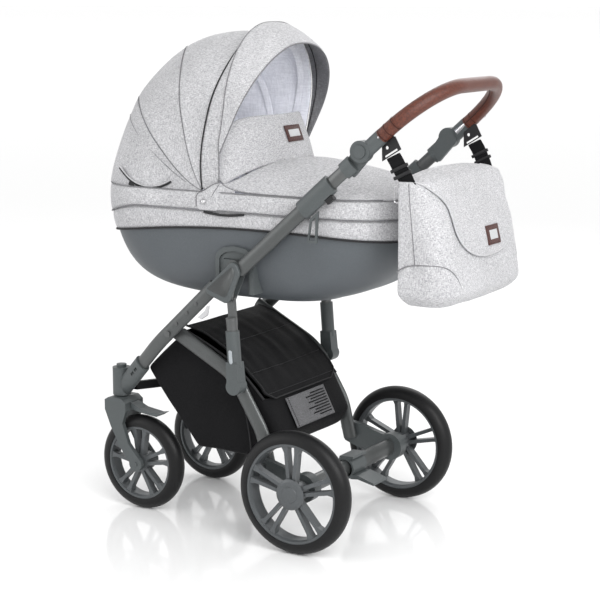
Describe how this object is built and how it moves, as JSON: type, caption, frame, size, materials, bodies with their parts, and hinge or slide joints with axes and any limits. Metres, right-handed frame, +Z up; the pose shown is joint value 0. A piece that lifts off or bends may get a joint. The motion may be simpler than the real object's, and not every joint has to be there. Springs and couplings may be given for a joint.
{
  "type": "baby stroller",
  "caption": "Folding baby stroller: tubular frame on swivelling front and large rear wheels, carrycot with folding hood, apron and wind flap, shopping basket, leather grip and hanging bag.",
  "frame": {"origin": "middle of the footprint of the whole stroller, on the ground", "axes": "+Z up, -X towards the front wheels and the head end, +X towards the handle, +Y to the right of a person pushing it"},
  "size_m": [1.0458, 0.5924, 1.2459],
  "materials": {
    "frame": "satin powder coat, graphite",
    "inner_tube": "satin",
    "casting": "fine matte, graphite",
    "rim": "satin grey",
    "tyre": "smooth solid rubber",
    "steel": "zinc plated",
    "black_plastic": "fine matte",
    "black_cloth": "tight woven polyester",
    "shell": "matte blue-grey",
    "grey_cloth": "light grey melange linen weave",
    "piping": "dark piping",
    "lining": "white satin cotton",
    "leather": "stitched brown leather"
  },
  "bodies": {
    "chassis": {"front_tube_left": "frame", "front_tube_right": "frame", "fork_sockets": "casting", "hub_plates": "casting", "hub_covers": "casting", "pivot_pins": "inner_tube", "front_cross_bar": "black_plastic", "basket": "black_cloth"},
    "basket_lid": {"basket_lid": "black_cloth"},
    "fold_catches": {"fold_catches": "steel"},
    "swivel_left": {"fork_left": "casting"},
    "swivel_right": {"fork_right": "casting"},
    "lever_left": {"swivel_lever_left": "casting"},
    "lever_right": {"swivel_lever_right": "casting"},
    "front_wheel_left": {"front_rim_left": "rim", "front_tyre_left": "tyre"},
    "front_wheel_right": {"front_rim_right": "rim", "front_tyre_right": "tyre"},
    "rear_legs": {"rear_leg_left": "frame", "rear_leg_right": "frame", "axle_brackets": "casting", "rear_axle": "frame"},
    "rear_wheel_left": {"rear_rim_left": "rim", "rear_tyre_left": "tyre", "rear_hub_cap_left": "rim"},
    "rear_wheel_right": {"rear_rim_right": "rim", "rear_tyre_right": "tyre", "rear_hub_cap_right": "rim"},
    "brake_pedal": {"brake_pedal": "casting"},
    "strut_sleeves": {"strut_sleeves": "casting", "strut_springs": "steel"},
    "strut_rods": {"strut_rods": "inner_tube"},
    "handle_lower": {"handle_tube_left": "frame", "handle_tube_right": "frame", "collars": "casting"},
    "release_loops": {"release_loops": "casting"},
    "telescope_latches": {"telescope_latches": "black_plastic"},
    "handle_middle": {"inner_tubes": "inner_tube", "tilt_housings": "casting"},
    "handle_upper": {"grip_sockets": "casting", "handle_bar": "steel", "leather_grip": "leather", "bag_hooks": "black_plastic"},
    "tilt_button_left": {"tilt_button_left": "casting"},
    "tilt_button_right": {"tilt_button_right": "casting"},
    "bag_straps": {"bag_straps": "black_cloth"},
    "bag": {"bag": "grey_cloth"},
    "bag_flap": {"bag_flap": "grey_cloth"},
    "carrycot": {"carrycot_shell": "shell", "mount_brackets": "casting", "carrycot_fabric": "grey_cloth", "mattress": "lining", "apron": "grey_cloth", "wind_flap": "grey_cloth", "hood_rear_panel": "grey_cloth"},
    "hood_mid": {"hood_mid_panel": "grey_cloth", "hood_mid_bow": "piping"},
    "hood_front": {"hood_front_panel": "grey_cloth", "hood_main_bow": "piping", "hood_visor": "grey_cloth"}
  },
  "joints": [
    {"name": "fold", "type": "hinge", "parent": "chassis", "child": "handle_lower", "pos_m": [-0.0439, 0, 0.67], "axis": [0, -1, 0], "range_deg": [0, 160]},
    {"name": "rear_legs_fold", "type": "hinge", "parent": "chassis", "child": "rear_legs", "pos_m": [-0.2369, 0, 0.486], "axis": [0, -1, 0], "range_deg": [0, 41.5]},
    {"name": "strut_swing", "type": "hinge", "parent": "rear_legs", "child": "strut_sleeves", "pos_m": [-0.0409, 0, 0.376], "axis": [0, -1, 0], "range_deg": [-53.5, 0]},
    {"name": "strut_slide", "type": "slide", "parent": "strut_sleeves", "child": "strut_rods", "axis": [0.0785, 0, -0.9969], "range_m": [0, 0.012], "stiffness_N_per_m": 2500, "deforming": ["strut_springs"]},
    {"name": "handle_telescope", "type": "slide", "parent": "handle_lower", "child": "handle_middle", "axis": [0.7501, 0, 0.6613], "range_m": [0, 0.09]},
    {"name": "handle_tilt", "type": "hinge", "parent": "handle_middle", "child": "handle_upper", "pos_m": [0.3011, 0, 0.96], "axis": [0, -1, 0], "range_deg": [-30, 20]},
    {"name": "tilt_button_left_press", "type": "slide", "parent": "handle_upper", "child": "tilt_button_left", "axis": [0, 1, 0], "range_m": [0, 0.003], "stiffness_N_per_m": 800},
    {"name": "tilt_button_right_press", "type": "slide", "parent": "handle_upper", "child": "tilt_button_right", "axis": [0, -1, 0], "range_m": [0, 0.003], "stiffness_N_per_m": 800},
    {"name": "release_pull", "type": "slide", "parent": "handle_lower", "child": "release_loops", "axis": [0, 0, -1], "range_m": [0, 0.012], "stiffness_N_per_m": 400},
    {"name": "telescope_latch_press", "type": "slide", "parent": "handle_lower", "child": "telescope_latches", "axis": [-0.6613, 0, 0.7501], "range_m": [0, 0.003], "stiffness_N_per_m": 800},
    {"name": "bag_swing", "type": "hinge", "parent": "handle_upper", "child": "bag_straps", "pos_m": [0.3731, 0, 0.955], "axis": [0, -1, 0], "range_deg": [-20, 30]},
    {"name": "bag_unhook", "type": "slide", "parent": "bag_straps", "child": "bag", "axis": [1, 0, 0], "range_m": [0, 0.49]},
    {"name": "bag_flap_open", "type": "hinge", "parent": "bag", "child": "bag_flap", "pos_m": [0.3891, 0, 0.898], "axis": [0, -1, 0], "range_deg": [0, 90]},
    {"name": "carrycot_lift", "type": "slide", "parent": "chassis", "child": "carrycot", "axis": [0, 0, 1], "range_m": [0, 0.45]},
    {"name": "hood_front_fold", "type": "hinge", "parent": "hood_mid", "child": "hood_front", "pos_m": [-0.1489, 0, 0.842], "axis": [0, -1, 0], "range_deg": [0, 30]},
    {"name": "hood_mid_fold", "type": "hinge", "parent": "carrycot", "child": "hood_mid", "pos_m": [-0.1489, 0, 0.842], "axis": [0, -1, 0], "range_deg": [0, 24.5]},
    {"name": "basket_lid_open", "type": "hinge", "parent": "chassis", "child": "basket_lid", "pos_m": [-0.2299, 0, 0.492], "axis": [0, -1, 0], "range_deg": [0, 45]},
    {"name": "fold_catch_open", "type": "hinge", "parent": "chassis", "child": "fold_catches", "pos_m": [-0.1229, 0, 0.571], "axis": [0, -1, 0], "range_deg": [0, 25]},
    {"name": "brake_pedal_rock", "type": "hinge", "parent": "rear_legs", "child": "brake_pedal", "pos_m": [0.1511, 0, 0.15], "axis": [0, -1, 0], "range_deg": [0, 15]},
    {"name": "swivel_left", "type": "hinge", "parent": "chassis", "child": "swivel_left", "pos_m": [-0.4389, -0.1583, 0.3], "axis": [0, 0, 1], "continuous": true},
    {"name": "swivel_lever_left", "type": "hinge", "parent": "swivel_left", "child": "lever_left", "pos_m": [-0.3984, -0.1583, 0.271], "axis": [0, -1, 0], "range_deg": [0, 18]},
    {"name": "front_wheel_spin_left", "type": "hinge", "parent": "swivel_left", "child": "front_wheel_left", "pos_m": [-0.3729, -0.1583, 0.1235], "axis": [0, -1, 0], "continuous": true},
    {"name": "rear_wheel_spin_left", "type": "hinge", "parent": "rear_legs", "child": "rear_wheel_left", "pos_m": [0.1511, -0.2665, 0.15], "axis": [0, -1, 0], "continuous": true},
    {"name": "swivel_right", "type": "hinge", "parent": "chassis", "child": "swivel_right", "pos_m": [-0.4389, 0.1583, 0.3], "axis": [0, 0, 1], "continuous": true},
    {"name": "swivel_lever_right", "type": "hinge", "parent": "swivel_right", "child": "lever_right", "pos_m": [-0.3984, 0.1583, 0.271], "axis": [0, -1, 0], "range_deg": [0, 18]},
    {"name": "front_wheel_spin_right", "type": "hinge", "parent": "swivel_right", "child": "front_wheel_right", "pos_m": [-0.3729, 0.1583, 0.1235], "axis": [0, -1, 0], "continuous": true},
    {"name": "rear_wheel_spin_right", "type": "hinge", "parent": "rear_legs", "child": "rear_wheel_right", "pos_m": [0.1511, 0.2665, 0.15], "axis": [0, -1, 0], "continuous": true}
  ],
  "couplings": [
    {"joint": "rear_legs_fold", "follows": "fold", "ratio": 0.255},
    {"joint": "strut_swing", "follows": "fold", "ratio": -0.33},
    {"joint": "bag_unhook", "follows": "fold", "m_per_rad": 0.175},
    {"joint": "bag_swing", "follows": "handle_tilt", "ratio": -1},
    {"joint": "hood_mid_fold", "follows": "hood_front_fold", "ratio": 0.81667}
  ]
}
